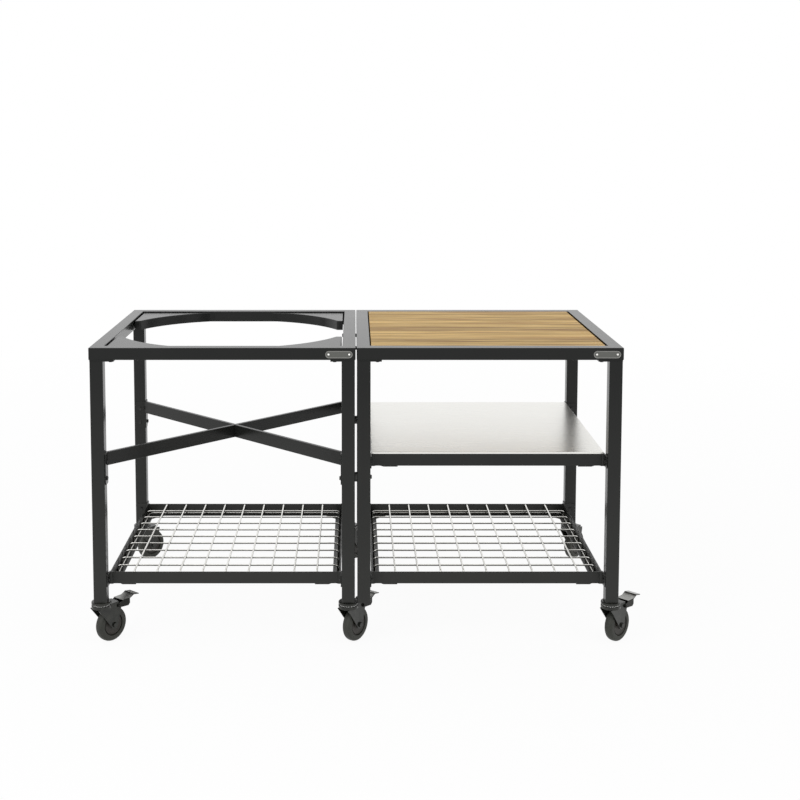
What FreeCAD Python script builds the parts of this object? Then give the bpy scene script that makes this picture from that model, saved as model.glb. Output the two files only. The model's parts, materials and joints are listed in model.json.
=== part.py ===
import FreeCAD, Part
import math
import os

# Kamado grill table: two square steel bays side by side on casters.
# The left bay has a round opening for a ceramic grill, which stands on a crossed support.
# The right bay has a lift-out wooden worktop, a stainless shelf and a wire grid.
# Millimetres, +X to the right, +Y to the back, +Z up from the floor.

# Bays and top frames
BAY = 762.0                 # side of each square top frame
BAY_GAP = 3.0               # seam between the two top frames
TABLE_HEIGHT = 877.0        # floor to the top of the rails
RAIL_WIDTH = 38.0
RAIL_HEIGHT = 35.0
RAIL_WALL = 2.0
VENT_RADIUS = 4.0           # drain under the rear rail
LEDGE_WIDTH = 15.0          # ledge inside the right top frame that carries the worktop
LEDGE_THICKNESS = 3.0

# Legs
LEG_WIDTH = 38.0
LEG_WALL = 2.0
LEG_INSET = 2.0             # legs stand back from the outer faces of the rails
LEG_PLATE_REACH = 32.0      # top plate beyond the inner faces of the leg
LEG_PLATE_THICKNESS = 5.0
LEG_PLATE_RADIUS = 20.0

# Threaded plugs in the feet of the legs
PLUG_FLANGE = 2.0
PLUG_DEPTH = 22.0
PLUG_CLEARANCE = 0.1
SOCKET_RADIUS = 6.0         # M12
SOCKET_DEPTH = 20.0

# Corner infill plates round the grill opening
INFILL_ARC_REACH = 14.0     # the grill's arc runs this far past the inner faces of the rails
INFILL_DROP = 4.0           # plates lie below the top of the rails
INFILL_SHEET = 3.0
INFILL_RIM = 30.0
INFILL_SIDE_GAP = 3.5
INFILL_STRAIGHT_EDGE = 155.0  # from the middle of the bay to the straight edge
INFILL_NOSE_RADIUS = 8.0

# Crossed grill support
SUPPORT_DROP = 311.0        # top of the support below the top of the table
SUPPORT_BAR_HEIGHT = 39.0
SUPPORT_BAR_THICKNESS = 12.0
HALF_LAP_CLEARANCE = 0.2
SUPPORT_BRACKET_HEIGHT = 92.0
BRACKET_FLANGE = 32.0
BRACKET_THICKNESS = 3.0
BRACKET_CHAMFER = 9.0
SUPPORT_BOLT_DROPS = (25.0, 73.0)  # bolts below the top of the bracket

# Shelf frames between the legs
SHELF_RAIL_HEIGHT = 35.0
SHELF_SHEET = 3.0
SHELF_LEDGE = 25.0
LOWER_SHELF_RISE = 77.0     # top of the lower shelf frames above the feet of the legs
MIDDLE_SHELF_DROP = 318.5   # top of the middle shelf frame below the top of the table
EAR_ABOVE = 12.0            # ears stand above and below the shelf rails
EAR_BELOW = 4.0
EAR_ALONG_LEG = 32.0
EAR_ALONG_RAIL = 15.0
EAR_CHAMFER = 6.0
STRAP_INNER = 36.0          # corner strap, from the corner of the frame along a rail
STRAP_OUTER = 76.0
STRAP_THICKNESS = 3.0

# Wire grids on the lower shelves
WIRE_DIAMETER = 5.0
WIRE_SIDES = 6
WIRE_COUNT = 9
WIRE_PITCH = 67.0
GRID_SIDE_GAP = 8.0         # from the shelf frame's upright sheet to the outermost wires' axes
GRID_RISE = 3.0             # highest point of the grid above the top of its shelf frame

# Stainless shelf panel
PANEL_SHEET = 1.5
PANEL_EDGE = 5.0
PANEL_CLEARANCE = 0.5

# Wooden worktop
SLAT_COUNT = 10
SLAT_THICKNESS = 20.0
SLAT_JOINT = 0.6
SLAT_CHAMFER = 1.0
WORKTOP_END_GAP = 3.0
WORKTOP_SIDE_GAP = 0.5
BATTEN_COUNT = 3
BATTEN_WIDTH = 45.0
BATTEN_END_INSET = 60.0     # outer battens from the ends of the slats

# Plain name plates
PLATE_LENGTH = 78.0
PLATE_HEIGHT = 21.0
PLATE_THICKNESS = 1.5
PLATE_END_STEPS = 8         # flats round each end
PLATE_FROM_CORNER = 47.5
PLATE_DROP = 19.0

# Links between the two bays
LINK_FLATS = 16.0
LINK_END_INSET = 24.0
LINK_RAIL_DROP = 26.0

# Hexagon bolt heads
BOLT_ACROSS_FLATS = 10.0
BOLT_HEAD = 4.0

# Casters. In a caster's own frame X trails behind the swivel axis and the axle lies along Y.
WHEEL_RADIUS = 50.0
WHEEL_HALF_WIDTH = 13.0
TREAD_HALF_WIDTH = 7.0
SHOULDER_DROP = 4.5         # the tread's shoulders lie inside the wheel's radius
WHEEL_SIDES = 28            # flats round the tread and the disc, instead of full circles
DISC_RADIUS = 32.0
DISC_RECESS = 2.5
HUB_RADIUS = 12.5
HUB_SIDES = 8
HUB_CLEARANCE = 0.5         # between the hub and each cheek of the fork
TRAIL = 34.0
AXLE_RADIUS = 4.0
SHANK_SIDES = 12
AXLE_HEAD_FLATS = 13.0
AXLE_HEAD = 5.0
AXLE_NUT = 6.5
RUNNING_CLEARANCE = 0.05
FACE_CLEARANCE = 0.3
CUP_RADIUS = 29.0
CUP_SIDES = 24              # flats round the cup, the race and the crown
CUP_THICKNESS = 7.0
RACE_RADIUS = 22.0
RACE_HEIGHT = 3.7
CROWN_THICKNESS = 8.0
CROWN_CLEARANCE = 9.0       # between the tread and the crown above it
KINGPIN_NUT_FLATS = 19.0
KINGPIN_NUT = 4.0
CHEEK_GAP = 15.0            # inner faces of the cheeks, either side of the wheel's plane
CHEEK_SHEET = 2.5
CHEEK_FLARE = 3.0           # the front edges of the cheeks spread this much further
CHEEK_FRONT = 26.0          # front edges ahead of the swivel axis
CHEEK_CREASE_X = 28.0       # crease behind the swivel axis, where the cheeks turn parallel
BRIDGE_LENGTH = 50.0        # bridge of the crown behind the swivel axis
CHEEK_BACK = 60.0
CHEEK_BACK_DROP = 10.0
CHEEK_BOSS_RADIUS = 12.0
CHEEK_BOSS_STEPS = 6        # flats round the lower end of each cheek

# Brake pedals on the front casters
PEDAL_HALF_WIDTH = 20.5
PEDAL_SHEET = 2.5
PEDAL_PIVOT_FLATS = 8.0
PEDAL_PIVOT_HEAD = 3.0
PEDAL_PIVOT_X = 50.0
PEDAL_PIVOT_DROP = 5.0      # below the underside of the crown
PEDAL_TREAD_START = 62.0
PEDAL_RISER_START = 90.0
PEDAL_LIP_START = 105.0
PEDAL_TIP = 124.0
PEDAL_TREAD_RISE = 8.0      # above the underside of the crown
PEDAL_LIP_RISE = 15.5
PEDAL_TIP_RISE = 12.0
PEDAL_SKIRT_DROP = 14.0
PEDAL_EAR = 6.0             # metal round the pivot
SHOE_LENGTH = 10.0
SHOE_HALF_WIDTH = 12.0
SHOE_X = 66.0
SHOE_CLEARANCE = 6.0        # above the tread while the brake is off

# Worked out from the sizes above
WORKTOP_BAY_X = BAY + BAY_GAP
GRILL_OPENING_RADIUS = BAY / 2 - RAIL_WIDTH + INFILL_ARC_REACH
RAIL_BOTTOM = TABLE_HEIGHT - RAIL_HEIGHT
CROWN_BOTTOM = 2 * WHEEL_RADIUS + CROWN_CLEARANCE
FORK_TOP = CROWN_BOTTOM + CROWN_THICKNESS
RACE_BOTTOM = FORK_TOP + FACE_CLEARANCE
CUP_BOTTOM = RACE_BOTTOM + RACE_HEIGHT
CASTER_HEIGHT = CUP_BOTTOM + CUP_THICKNESS
LEG_INNER = LEG_INSET + LEG_WIDTH
LEG_CENTRE = LEG_INSET + LEG_WIDTH / 2
LEG_BOTTOM = CASTER_HEIGHT + PLUG_FLANGE
LEG_TOP = RAIL_BOTTOM - LEG_PLATE_THICKNESS
SHELF_OUTER = LEG_INNER + BRACKET_THICKNESS
SUPPORT_TOP = TABLE_HEIGHT - SUPPORT_DROP
LOWER_SHELF_TOP = LEG_BOTTOM + LOWER_SHELF_RISE
MIDDLE_SHELF_TOP = TABLE_HEIGHT - MIDDLE_SHELF_DROP
GRID_SPAN = BAY - 2 * (SHELF_OUTER + SHELF_SHEET + GRID_SIDE_GAP)
MIDDLE = FreeCAD.Vector(BAY / 2, BAY / 2, 0)
UP = FreeCAD.Vector(0, 0, 1)
CHEEK_OUTER = CHEEK_GAP + CHEEK_SHEET
PEDAL_PIVOT_Z = CROWN_BOTTOM - PEDAL_PIVOT_DROP
PEDAL_TREAD_Z = CROWN_BOTTOM + PEDAL_TREAD_RISE
PEDAL_SKIRT_BOTTOM = CROWN_BOTTOM - PEDAL_SKIRT_DROP

# Swivel angle of each caster: the direction in which its wheel trails, from +X towards +Y.
# Each leg is named by its bay, then by its corner as a quarter turn about the bay's middle.
CORNERS = {"front_left": 0, "front_right": 1, "rear_right": 2, "rear_left": 3}
CASTERS = {
    "front_left": (0, "front_left", 50.0, True),
    "front_middle": (0, "front_right", 53.0, True),
    "front_right": (1, "front_right", 45.0, True),
    "rear_left": (0, "rear_left", 45.0, False),
    "rear_middle": (0, "rear_right", 50.0, False),
    "rear_right": (1, "rear_right", 50.0, False),
}

# The two legs of the worktop bay beside the seam stand on no caster.
BARE_FEET = ("front_left", "rear_left")

nodes = {}


def point(x, y, z):
    return FreeCAD.Vector(x, y, z)


def flat_face(corners):
    return Part.Face(Part.makePolygon(corners + corners[:1]))


def box(low, high):
    """A block between two opposite corners."""
    size = [b - a for a, b in zip(low, high)]
    return Part.makeBox(*size, point(*low))


def square(inset, bottom, top):
    """A square prism centred in a bay, its sides in from the bay's outer faces."""
    return box((inset, inset, bottom), (BAY - inset, BAY - inset, top))


def prism(outline, bottom, top):
    """An upright prism over a closed outline of (x, y) points."""
    return flat_face([point(x, y, bottom) for x, y in outline]).extrude(UP * (top - bottom))


def side_prism(outline, half_width):
    """A prism along Y over a closed outline of (x, z) points, centred on Y = 0."""
    return flat_face([point(x, -half_width, z) for x, z in outline]).extrude(point(0, 2 * half_width, 0))


def quarter_turn(shape, count):
    """A copy turned about the middle of a bay by quarter turns."""
    copy = shape.copy()
    copy.rotate(MIDDLE, UP, 90 * count)
    return copy


def all_corners(shape):
    return [quarter_turn(shape, count) for count in range(4)]


def moved(shape, x=0.0, y=0.0, z=0.0):
    copy = shape.copy()
    copy.translate(point(x, y, z))
    return copy


def bay_x(bay):
    """Left outer face of the grill bay, 0, or of the worktop bay, 1."""
    return bay * WORKTOP_BAY_X


def upright_edges(shape, corners):
    """The vertical edges that stand at the given (x, y) places."""
    found = []
    for edge in shape.Edges:
        ends = [vertex.Point for vertex in edge.Vertexes]
        if len(ends) < 2 or (ends[0] - ends[1]).cross(UP).Length > 1e-6:
            continue
        if any(math.hypot(ends[0].x - x, ends[0].y - y) < 1e-6 for x, y in corners):
            found.append(edge)
    return found


def round_outline(radius, sides, centre_a=0.0, centre_b=0.0):
    """The corners of a many-sided outline round a centre."""
    turns = [2 * math.pi * step / sides for step in range(sides)]
    return [(centre_a + radius * math.cos(turn), centre_b + radius * math.sin(turn)) for turn in turns]


def hexagon(across_flats, height):
    """A hexagon head standing on Z = 0."""
    corner_radius = across_flats / 2 / math.cos(math.pi / 6)
    return prism(round_outline(corner_radius, 6), 0, height)


def bolt_head(place, direction, across_flats=BOLT_ACROSS_FLATS, height=BOLT_HEAD):
    """A hexagon head seated at a place, standing out along a direction."""
    head = hexagon(across_flats, height)
    head.Placement = FreeCAD.Placement(point(*place), FreeCAD.Rotation(UP, point(*direction)))
    return head


def top_frame(with_ledge):
    """A mitre-welded square of box tube, with a vent from below into its hollow."""
    frame = square(0, RAIL_BOTTOM, TABLE_HEIGHT).cut(square(RAIL_WIDTH, RAIL_BOTTOM, TABLE_HEIGHT))
    floor, roof = RAIL_BOTTOM + RAIL_WALL, TABLE_HEIGHT - RAIL_WALL
    hollow = square(RAIL_WALL, floor, roof).cut(square(RAIL_WIDTH - RAIL_WALL, floor, roof))
    frame = frame.cut(hollow)
    vent = Part.makeCylinder(VENT_RADIUS, RAIL_WALL, point(BAY / 2, BAY - RAIL_WIDTH / 2, RAIL_BOTTOM))
    frame = frame.cut(vent)
    if with_ledge:
        top = RAIL_BOTTOM + LEDGE_THICKNESS
        ledge = square(RAIL_WIDTH, RAIL_BOTTOM, top)
        frame = frame.fuse(ledge.cut(square(RAIL_WIDTH + LEDGE_WIDTH, RAIL_BOTTOM, top)))
    return frame.removeSplitter()


def leg():
    """The front left leg of a bay: square tube from its foot to its welded top plate."""
    low, high = LEG_INSET, LEG_INNER
    bore_low, bore_high = low + LEG_WALL, high - LEG_WALL
    tube = box((low, low, LEG_BOTTOM), (high, high, LEG_TOP))
    return tube.cut(box((bore_low, bore_low, LEG_BOTTOM), (bore_high, bore_high, LEG_TOP)))


def leg_plate():
    """The plate welded on the front left leg, under both rails, its inner corner rounded."""
    reach = LEG_INNER + LEG_PLATE_REACH
    plate = box((LEG_INSET, LEG_INSET, LEG_TOP), (reach, reach, RAIL_BOTTOM))
    return plate.makeFillet(LEG_PLATE_RADIUS, upright_edges(plate, [(reach, reach)]))


def leg_plug():
    """The plug in the foot of the front left leg."""
    low, high = LEG_INSET, LEG_INNER
    flange = box((low, low, CASTER_HEIGHT), (high, high, LEG_BOTTOM))
    wall = LEG_WALL + PLUG_CLEARANCE
    core = box((low + wall, low + wall, LEG_BOTTOM), (high - wall, high - wall, LEG_BOTTOM + PLUG_DEPTH))
    return flange.fuse(core)


def threaded_plug():
    """The plug of a leg without a caster, with its socket open from below."""
    foot = point(LEG_CENTRE, LEG_CENTRE, CASTER_HEIGHT)
    return leg_plug().cut(Part.makeCylinder(SOCKET_RADIUS, SOCKET_DEPTH, foot))


def infill_outline(inset):
    """The front left infill plate as a face: two straight sides, a nose and the grill's arc."""
    side = RAIL_WIDTH + INFILL_SIDE_GAP + inset
    front = RAIL_WIDTH + inset
    back = BAY / 2 - INFILL_STRAIGHT_EDGE - inset
    radius = GRILL_OPENING_RADIUS + inset
    half = BAY / 2
    arc_back = (half - math.sqrt(radius**2 - (half - back) ** 2), back)
    arc_front = (half - math.sqrt(radius**2 - (half - front) ** 2), front)
    turn = (
        math.atan2(arc_back[1] - half, arc_back[0] - half)
        + math.atan2(arc_front[1] - half, arc_front[0] - half)
    ) / 2
    arc_middle = (half + radius * math.cos(turn), half + radius * math.sin(turn))
    back_point, middle_point, front_point = (point(x, y, 0) for x, y in (arc_back, arc_middle, arc_front))
    edges = [
        Part.LineSegment(point(side, front, 0), point(side, back, 0)).toShape(),
        Part.LineSegment(point(side, back, 0), back_point).toShape(),
        Part.Arc(back_point, middle_point, front_point).toShape(),
        Part.LineSegment(front_point, point(side, front, 0)).toShape(),
    ]
    return Part.Face(Part.Wire(edges)), arc_back


def infill_plate():
    """The front left corner plate of the grill bay: a sheet with a rim folded down all round."""
    top = TABLE_HEIGHT - INFILL_DROP
    outer, nose = infill_outline(0)
    inner, _ = infill_outline(INFILL_SHEET)
    shell = moved(outer.extrude(UP * INFILL_RIM), z=top - INFILL_RIM)
    shell = shell.makeFillet(INFILL_NOSE_RADIUS, upright_edges(shell, [nose]))
    hollow = moved(inner.extrude(UP * (INFILL_RIM - INFILL_SHEET)), z=top - INFILL_RIM)
    return shell.cut(hollow)


def mirrored_x(shape):
    """A copy reflected left to right in a bay."""
    return shape.mirror(MIDDLE, point(1, 0, 0))


def mirrored_y(shape):
    """A copy reflected front to back in a bay."""
    return shape.mirror(MIDDLE, point(0, 1, 0))


def support_bar(slot_from_top):
    """A bar from the front left leg to the rear right leg, half-lapped where the two cross."""
    half = SUPPORT_BAR_THICKNESS / 2
    length = (BAY - 2 * SHELF_OUTER) * math.sqrt(2) + SUPPORT_BAR_THICKNESS
    bottom = SUPPORT_TOP - SUPPORT_BAR_HEIGHT
    bar = box((-length / 2, -half, bottom), (length / 2, half, SUPPORT_TOP))
    lap = half + HALF_LAP_CLEARANCE
    low, high = bottom, SUPPORT_TOP - SUPPORT_BAR_HEIGHT / 2
    if slot_from_top:
        low, high = high, SUPPORT_TOP
    bar = bar.cut(box((-lap, -half, low), (lap, half, high)))
    bar.rotate(point(0, 0, 0), UP, 45)
    bar.translate(MIDDLE)
    corner = box((0, 0, bottom), (SHELF_OUTER, SHELF_OUTER, SUPPORT_TOP))
    for block in (corner, quarter_turn(corner, 2)):
        bar = bar.cut(block)
    return bar


def support_bracket():
    """The angle bracket on the inner faces of the front left leg, lower corners chamfered."""
    bottom = SUPPORT_TOP - SUPPORT_BRACKET_HEIGHT
    end = SHELF_OUTER - BRACKET_FLANGE - BRACKET_THICKNESS
    flange = [
        (end, SUPPORT_TOP),
        (SHELF_OUTER, SUPPORT_TOP),
        (SHELF_OUTER, bottom),
        (end + BRACKET_CHAMFER, bottom),
        (end, bottom + BRACKET_CHAMFER),
    ]
    along_x = moved(side_prism(flange, BRACKET_THICKNESS / 2), y=SHELF_OUTER - BRACKET_THICKNESS / 2)
    along_y = along_x.mirror(point(0, 0, 0), point(1, -1, 0))
    return along_x.fuse(along_y).removeSplitter()


def leg_face_bolts(height):
    """Two bolts at one height, on the two bracket faces of the front left leg."""
    return [
        bolt_head((SHELF_OUTER, LEG_CENTRE, height), (1, 0, 0)),
        bolt_head((LEG_CENTRE, SHELF_OUTER, height), (0, 1, 0)),
    ]


def shelf_ears(top):
    """Two upright ears on the front left leg that carry a shelf frame, lower corners chamfered."""
    low, high = top - SHELF_RAIL_HEIGHT - EAR_BELOW, top + EAR_ABOVE
    start, end = LEG_INNER - EAR_ALONG_LEG, SHELF_OUTER + EAR_ALONG_RAIL
    outline = [
        (start, high),
        (end, high),
        (end, low + EAR_CHAMFER),
        (end - EAR_CHAMFER, low),
        (start + EAR_CHAMFER, low),
        (start, low + EAR_CHAMFER),
    ]
    along_x = moved(side_prism(outline, BRACKET_THICKNESS / 2), y=SHELF_OUTER - BRACKET_THICKNESS / 2)
    return along_x.fuse(along_x.mirror(point(0, 0, 0), point(1, -1, 0)))


def shelf_frame(top):
    """A welded frame of angle between the legs, with ears and a diagonal strap in each corner."""
    bottom = top - SHELF_RAIL_HEIGHT
    floor = bottom + SHELF_SHEET
    frame = square(SHELF_OUTER, bottom, top)
    frame = frame.cut(square(SHELF_OUTER + SHELF_SHEET, floor, top))
    frame = frame.cut(square(SHELF_OUTER + SHELF_LEDGE, bottom, floor))
    near, far = SHELF_OUTER + STRAP_INNER, SHELF_OUTER + STRAP_OUTER
    edge = SHELF_OUTER
    strap = prism(
        [(near, edge), (far, edge), (edge, far), (edge, near)], bottom - STRAP_THICKNESS, bottom
    )
    for piece in all_corners(strap) + all_corners(shelf_ears(top)):
        frame = frame.fuse(piece)
    return frame.removeSplitter()


def wire(path):
    """A wire of flat-sided section, mitred at the points of its path."""
    start, along = path[0], path[1] - path[0]
    flat = along.cross(UP)
    if flat.Length < 1e-6:
        flat = (path[2] - path[1]).cross(UP)
    side = flat.normalize()
    rise = along.normalize().cross(side)
    radius = WIRE_DIAMETER / 2 / math.cos(math.pi / WIRE_SIDES)
    ring = []
    for step in range(WIRE_SIDES):
        turn = 2 * math.pi * step / WIRE_SIDES
        ring.append(start + side * (radius * math.cos(turn)) + rise * (radius * math.sin(turn)))
    section = Part.makePolygon(ring + ring[:1])
    spine = Part.makePolygon(path)
    return spine.makePipeShell([section], True, False, 1)


def grid_wire(place, axis_height, foot_height):
    """A wire from front to back across a bay, its two ends bent down to a foot."""
    half = GRID_SPAN / 2
    front, back = BAY / 2 - half, BAY / 2 + half
    return wire([
        point(place, front, foot_height),
        point(place, front, axis_height),
        point(place, back, axis_height),
        point(place, back, foot_height),
    ])


def shelf_grid():
    """An inverted tray of wires that stands on the ledge of a lower shelf frame."""
    radius = WIRE_DIAMETER / 2
    upper = LOWER_SHELF_TOP + GRID_RISE - radius
    lower = upper - WIRE_DIAMETER
    ledge = LOWER_SHELF_TOP - SHELF_RAIL_HEIGHT + SHELF_SHEET
    foot = ledge + FACE_CLEARANCE + WIRE_DIAMETER
    places = [BAY / 2 + (step - (WIRE_COUNT - 1) / 2) * WIRE_PITCH for step in range(WIRE_COUNT)]
    wires = [grid_wire(place, upper, foot) for place in places]
    wires += [quarter_turn(grid_wire(place, lower, foot), 1) for place in places]
    low, high = (BAY - GRID_SPAN) / 2 - radius, (BAY + GRID_SPAN) / 2 + radius
    axis = foot - radius
    rim = wire([point(low, low + radius, axis), point(high, low + radius, axis)])
    front, back = low + WIRE_DIAMETER, high - WIRE_DIAMETER
    side = wire([point(low + radius, front, axis), point(low + radius, back, axis)])
    return wires + [rim, quarter_turn(rim, 2), side, quarter_turn(side, 2)]


def shelf_panel():
    """A stainless sheet on the middle shelf frame, with its edge folded down all round."""
    edge = SHELF_OUTER + PANEL_CLEARANCE
    bottom = MIDDLE_SHELF_TOP + FACE_CLEARANCE
    top = bottom + PANEL_EDGE
    panel = square(edge, bottom, top)
    return panel.cut(square(edge + PANEL_SHEET, bottom, top - PANEL_SHEET))


def worktop_slats():
    """Wooden boards side by side from front to back, flush with the rails."""
    left = RAIL_WIDTH + WORKTOP_END_GAP
    front = RAIL_WIDTH + WORKTOP_SIDE_GAP
    pitch = (BAY - 2 * front + SLAT_JOINT) / SLAT_COUNT
    width = pitch - SLAT_JOINT
    bottom = TABLE_HEIGHT - SLAT_THICKNESS
    slats = []
    for step in range(SLAT_COUNT):
        near = front + step * pitch
        far = near + width
        outline = [
            (near, bottom),
            (far, bottom),
            (far, TABLE_HEIGHT - SLAT_CHAMFER),
            (far - SLAT_CHAMFER, TABLE_HEIGHT),
            (near + SLAT_CHAMFER, TABLE_HEIGHT),
            (near, TABLE_HEIGHT - SLAT_CHAMFER),
        ]
        end = flat_face([point(left, y, z) for y, z in outline])
        slats.append(end.extrude(point(BAY - 2 * left, 0, 0)))
    return slats


def worktop_battens():
    """Battens across the undersides of the slats, their ends on the frame's ledge."""
    top = TABLE_HEIGHT - SLAT_THICKNESS
    bottom = RAIL_BOTTOM + LEDGE_THICKNESS + FACE_CLEARANCE
    front = RAIL_WIDTH + WORKTOP_SIDE_GAP
    first = RAIL_WIDTH + WORKTOP_END_GAP + BATTEN_END_INSET
    spacing = (BAY - 2 * first - BATTEN_WIDTH) / (BATTEN_COUNT - 1)
    lefts = [first + step * spacing for step in range(BATTEN_COUNT)]
    return [box((x, front, bottom), (x + BATTEN_WIDTH, BAY - front, top)) for x in lefts]


def name_plate():
    """A bare round-ended plate on the front rail near a bay's right corner."""
    centre_x, centre_z = BAY - PLATE_FROM_CORNER, TABLE_HEIGHT - PLATE_DROP
    radius = PLATE_HEIGHT / 2
    reach = PLATE_LENGTH / 2 - radius
    outline = []
    for side in (1, -1):
        for step in range(PLATE_END_STEPS + 1):
            turn = math.pi * (step / PLATE_END_STEPS - side / 2)
            across = side * reach + radius * math.cos(turn)
            outline.append((centre_x + across, centre_z + radius * math.sin(turn)))
    return moved(side_prism(outline, PLATE_THICKNESS / 2), y=-PLATE_THICKNESS / 2)


def bay_links():
    """Spacers in the seam between the bays, and the heads of the bolts through them."""
    rail_z = TABLE_HEIGHT - LINK_RAIL_DROP
    rails = [(y, rail_z) for y in (LINK_END_INSET, BAY / 2, BAY - LINK_END_INSET)]
    leg_z = SUPPORT_TOP - SUPPORT_BOLT_DROPS[1]
    legs = [(y, leg_z) for y in (LEG_CENTRE, BAY - LEG_CENTRE)]
    leg_gap = BAY_GAP + 2 * LEG_INSET
    spacers = [bolt_head((BAY, y, z), (1, 0, 0), LINK_FLATS, BAY_GAP) for y, z in rails]
    spacers += [bolt_head((BAY - LEG_INSET, y, z), (1, 0, 0), LINK_FLATS, leg_gap) for y, z in legs]
    heads = [
        bolt_head((BAY - RAIL_WIDTH, BAY / 2, rail_z), (-1, 0, 0)),
        bolt_head((WORKTOP_BAY_X + RAIL_WIDTH, BAY / 2, rail_z), (1, 0, 0)),
    ]
    heads += [bolt_head((WORKTOP_BAY_X + LEG_INNER, y, z), (1, 0, 0)) for y, z in legs]
    return spacers, heads


def caster_head():
    """The fixed part of a caster: the plug in the leg, the cup below it and the race."""
    cup = prism(round_outline(CUP_RADIUS, CUP_SIDES), CUP_BOTTOM, CASTER_HEIGHT)
    race = prism(round_outline(RACE_RADIUS, CUP_SIDES), RACE_BOTTOM, CUP_BOTTOM)
    return cup.fuse([race, moved(leg_plug(), x=-LEG_CENTRE, y=-LEG_CENTRE)])


def boss_turn(x, z, side):
    """Angle at the axle where a line from (x, z) touches the boss, in front (-1) or behind (1)."""
    away_x, away_z = x - TRAIL, z - WHEEL_RADIUS
    return math.atan2(away_z, away_x) - side * math.acos(CHEEK_BOSS_RADIUS / math.hypot(away_x, away_z))


def cheek_profile():
    """Both cheeks seen from the side, tapering from the crown to a rounded boss at the axle."""
    front, back = (-CHEEK_FRONT, CROWN_BOTTOM), (CHEEK_BACK, CROWN_BOTTOM - CHEEK_BACK_DROP)
    first, last = boss_turn(*back, 1), boss_turn(*front, -1) - 2 * math.pi
    outline = [front, (-CHEEK_FRONT, FORK_TOP), (CHEEK_BACK, FORK_TOP), back]
    for step in range(CHEEK_BOSS_STEPS + 1):
        turn = first + (last - first) * step / CHEEK_BOSS_STEPS
        x = TRAIL + CHEEK_BOSS_RADIUS * math.cos(turn)
        z = WHEEL_RADIUS + CHEEK_BOSS_RADIUS * math.sin(turn)
        outline.append((x, z))
    return side_prism(outline, CUP_RADIUS)


def cheek_strip(side):
    """The bent strip that one cheek is cut from, flared in front of its crease, seen from above."""
    inner = [(-CHEEK_FRONT, CHEEK_GAP + CHEEK_FLARE), (CHEEK_CREASE_X, CHEEK_GAP), (CHEEK_BACK, CHEEK_GAP)]
    outline = inner + [(x, y + CHEEK_SHEET) for x, y in reversed(inner)]
    return prism([(x, side * y) for x, y in outline], WHEEL_RADIUS - CHEEK_BOSS_RADIUS, CROWN_BOTTOM)


def caster_fork():
    """The swivelling fork: a round crown with its bridge, two cheeks, a kingpin nut and the axle bolt."""
    crown = prism(round_outline(CUP_RADIUS, CUP_SIDES), CROWN_BOTTOM, FORK_TOP)
    bridge = box((0, -CHEEK_OUTER, CROWN_BOTTOM), (BRIDGE_LENGTH, CHEEK_OUTER, FORK_TOP))
    profile = cheek_profile()
    cheeks = [cheek_strip(side).common(profile) for side in (-1, 1)]
    nut = moved(hexagon(KINGPIN_NUT_FLATS, KINGPIN_NUT), z=CROWN_BOTTOM - KINGPIN_NUT)
    shank = side_prism(round_outline(AXLE_RADIUS, SHANK_SIDES, TRAIL, WHEEL_RADIUS), CHEEK_GAP)
    head = bolt_head((TRAIL, -CHEEK_OUTER, WHEEL_RADIUS), (0, -1, 0), AXLE_HEAD_FLATS, AXLE_HEAD)
    locknut = bolt_head((TRAIL, CHEEK_OUTER, WHEEL_RADIUS), (0, 1, 0), AXLE_HEAD_FLATS, AXLE_NUT)
    return crown.fuse([bridge, nut, shank, head, locknut] + cheeks).removeSplitter()


def ring(radius, side):
    """Corners of a many-sided ring round the axle, at one distance from the wheel's plane."""
    return [point(x, side, z) for x, z in round_outline(radius, WHEEL_SIDES, TRAIL, WHEEL_RADIUS)]


def caster_wheel():
    """A many-sided wheel: a tread with sloping shoulders, recessed discs and a round-bored hub."""
    half = [
        (DISC_RADIUS, WHEEL_HALF_WIDTH - DISC_RECESS),
        (DISC_RADIUS, WHEEL_HALF_WIDTH),
        (WHEEL_RADIUS - SHOULDER_DROP, WHEEL_HALF_WIDTH),
        (WHEEL_RADIUS, TREAD_HALF_WIDTH),
    ]
    rings = [ring(radius, side) for radius, side in half]
    rings += [ring(radius, -side) for radius, side in reversed(half)]
    faces = [flat_face(rings[0]), flat_face(rings[-1])]
    for near, far in zip(rings, rings[1:]):
        for step in range(WHEEL_SIDES):
            faces.append(flat_face([near[step - 1], near[step], far[step], far[step - 1]]))
    wheel = Part.makeSolid(Part.makeShell(faces)).removeSplitter()
    hub = CHEEK_GAP - HUB_CLEARANCE
    wheel = wheel.fuse(side_prism(round_outline(HUB_RADIUS, HUB_SIDES, TRAIL, WHEEL_RADIUS), hub))
    bore_start = point(TRAIL, -hub, WHEEL_RADIUS)
    bore_radius = AXLE_RADIUS + RUNNING_CLEARANCE
    return wheel.cut(Part.makeCylinder(bore_radius, 2 * hub, bore_start, point(0, 1, 0)))


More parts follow.
